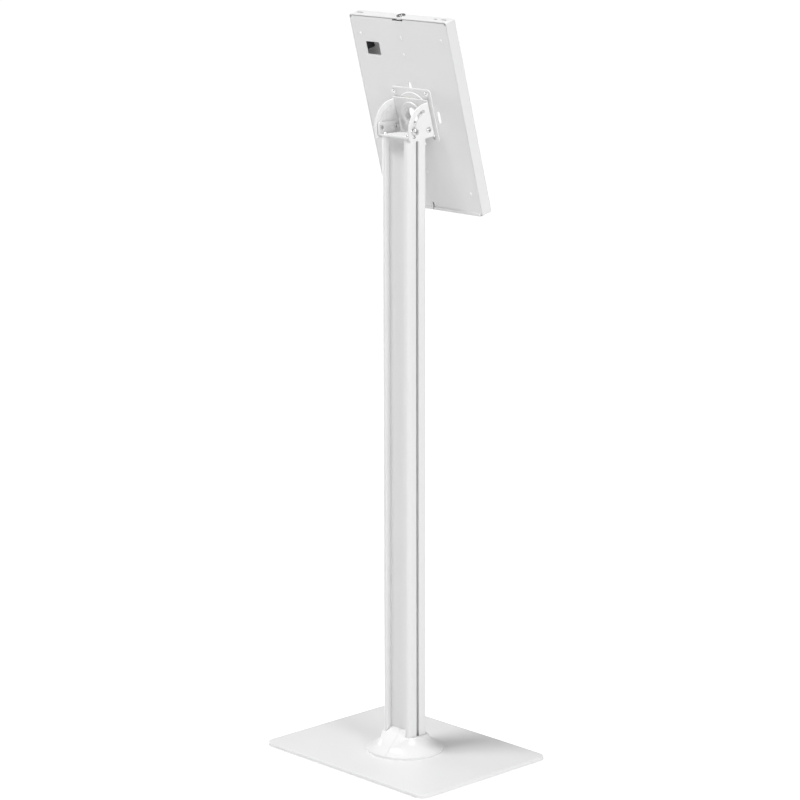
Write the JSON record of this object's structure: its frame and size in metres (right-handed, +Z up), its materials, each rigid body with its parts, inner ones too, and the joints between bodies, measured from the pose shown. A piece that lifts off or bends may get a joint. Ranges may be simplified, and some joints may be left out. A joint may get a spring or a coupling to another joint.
{
  "type": "adjustable tablet floor stand",
  "caption": "Floor stand with a flat base, a slotted column and a lockable tablet case that tilts on a quadrant yoke and turns on a hollow hub.",
  "frame": {"origin": "on the floor, under the middle of the column and of the base plate", "axes": "+Z up along the column; the screen faces -Y; +X is to the right of someone who faces the screen's back"},
  "size_m": [0.388, 0.293, 1.244],
  "materials": {
    "painted_steel": "white satin powder coat on steel sheet",
    "painted_aluminium": "white satin powder coat on extruded aluminium",
    "trim_plastic": "white moulded plastic, soft sheen",
    "foot_rubber": "black rubber",
    "washer_nylon": "natural nylon",
    "zinc_steel": "bright zinc-plated steel",
    "painted_fastener": "white painted heads",
    "holder_plastic": "black moulded plastic",
    "pad_foam": "dark closed-cell foam",
    "lock_nickel": "nickel-plated lock"
  },
  "bodies": {
    "stand": {"base_plate": "painted_steel", "base_feet": "foot_rubber", "base_screws": "zinc_steel", "column": "painted_aluminium", "foot_trim_right": "trim_plastic", "foot_trim_left": "trim_plastic", "base_yoke": "painted_steel", "yoke_screws": "zinc_steel", "ear_nuts": "zinc_steel", "tilt_washers": "washer_nylon", "pivot_bolts": "zinc_steel", "lock_washers": "zinc_steel", "lock_bolts": "zinc_steel"},
    "tilt_yoke": {"tilt_yoke": "painted_steel", "hub_washer_front": "washer_nylon", "hub_washer_rear": "washer_nylon"},
    "case": {"hub_tube": "painted_steel", "hub_ring": "painted_steel", "turning_plate": "painted_steel", "plate_screws": "zinc_steel", "tray_nuts": "zinc_steel", "tray_plate": "painted_steel", "corner_holders": "holder_plastic", "tablet_pads": "pad_foam", "holder_screws": "painted_fastener", "lock_keeper": "zinc_steel", "cable_clip": "zinc_steel", "tray_rivets": "painted_fastener"},
    "front_cover": {"front_cover": "painted_steel", "lock_body": "lock_nickel", "lock_nut": "zinc_steel"},
    "lock": {"lock_plug": "lock_nickel", "lock_cam": "zinc_steel", "cam_screw": "zinc_steel"}
  },
  "joints": [
    {"name": "tilt", "type": "hinge", "parent": "stand", "child": "tilt_yoke", "pos_m": [0, -0.0162, 1.0588], "axis": [-1, 0, 0], "range_deg": [-15, 70]},
    {"name": "turn", "type": "hinge", "parent": "tilt_yoke", "child": "case", "pos_m": [0, -0.02641, 1.08058], "axis": [0, -0.9659, 0.2588], "continuous": true},
    {"name": "cover_hinge", "type": "hinge", "parent": "case", "child": "front_cover", "pos_m": [0, -0.06829, 0.9243], "axis": [1, 0, 0], "range_deg": [0, 70]},
    {"name": "lock_turn", "type": "hinge", "parent": "front_cover", "child": "lock", "pos_m": [0, 0.00551, 1.24026], "axis": [0, -0.2588, -0.9659], "range_deg": [0, 90]}
  ]
}
